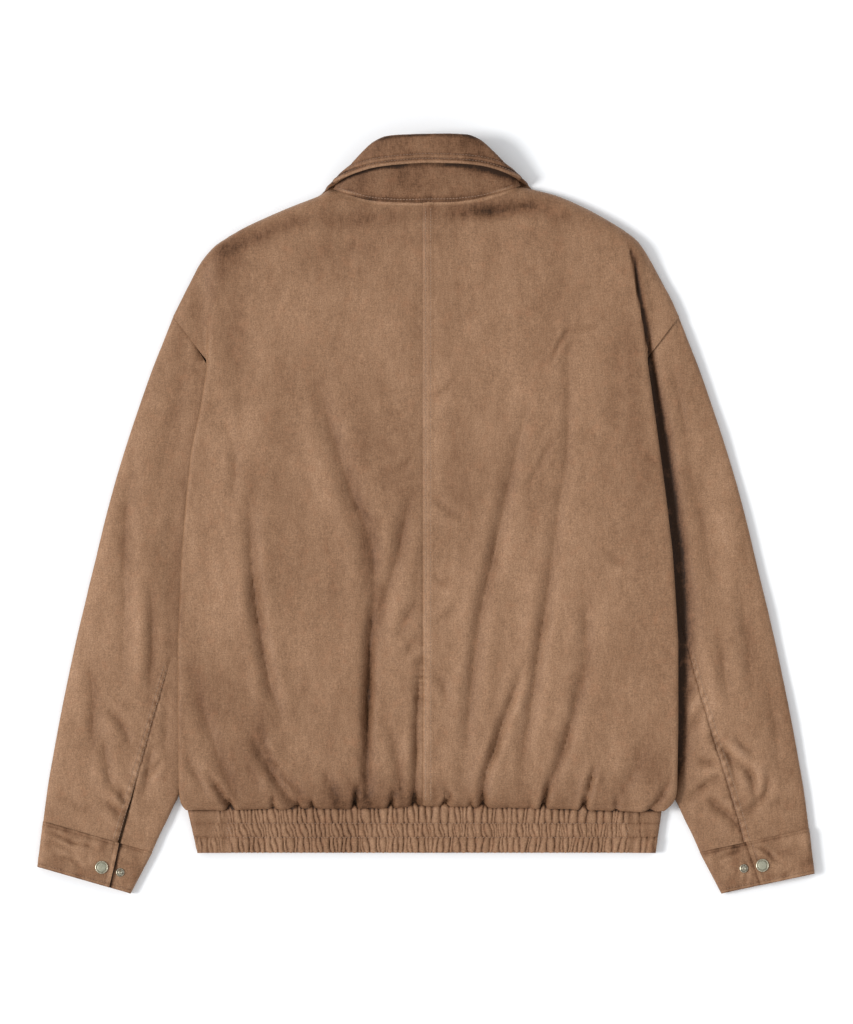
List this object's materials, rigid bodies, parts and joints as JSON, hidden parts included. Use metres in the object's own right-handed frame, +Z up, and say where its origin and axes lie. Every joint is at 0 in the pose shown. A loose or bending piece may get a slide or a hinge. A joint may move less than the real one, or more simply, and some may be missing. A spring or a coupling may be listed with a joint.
{
  "type": "suede jacket",
  "caption": "Boxy suede blouson laid flat on its front, back up: folded collar, drop-shoulder sleeves at the sides, snapped cuffs and a shirred elastic waistband.",
  "frame": {"origin": "on the surface the jacket lies on, at the middle of its outline", "axes": "+X across to the right seen from above, +Y towards the collar, +Z up from the surface"},
  "size_m": [0.7984, 0.7796, 0.0412],
  "materials": {
    "suede": "short brushed nap, matt with a soft sheen",
    "snap_metal": "antique nickel, worn satin"
  },
  "bodies": {
    "root": {"back_left": "suede", "back_right": "suede", "front_left": "suede", "front_right": "suede", "front_right_placket": "suede", "sleeve_left_top": "suede", "sleeve_left_under": "suede", "sleeve_right_top": "suede", "sleeve_right_under": "suede", "cuff_left": "suede", "cuff_right": "suede", "collar_stand": "suede", "collar_leaf": "suede", "waistband_left": "suede", "waistband_right": "suede", "waistband_back": "suede", "cuff_left_snap_cap": "snap_metal", "cuff_left_snap_stud": "snap_metal", "cuff_right_snap_cap": "snap_metal", "cuff_right_snap_stud": "snap_metal", "front_snap_1": "snap_metal", "front_snap_2": "snap_metal", "front_snap_3": "snap_metal", "front_snap_4": "snap_metal", "front_snap_5": "snap_metal", "waistband_snap": "snap_metal"}
  },
  "joints": []
}
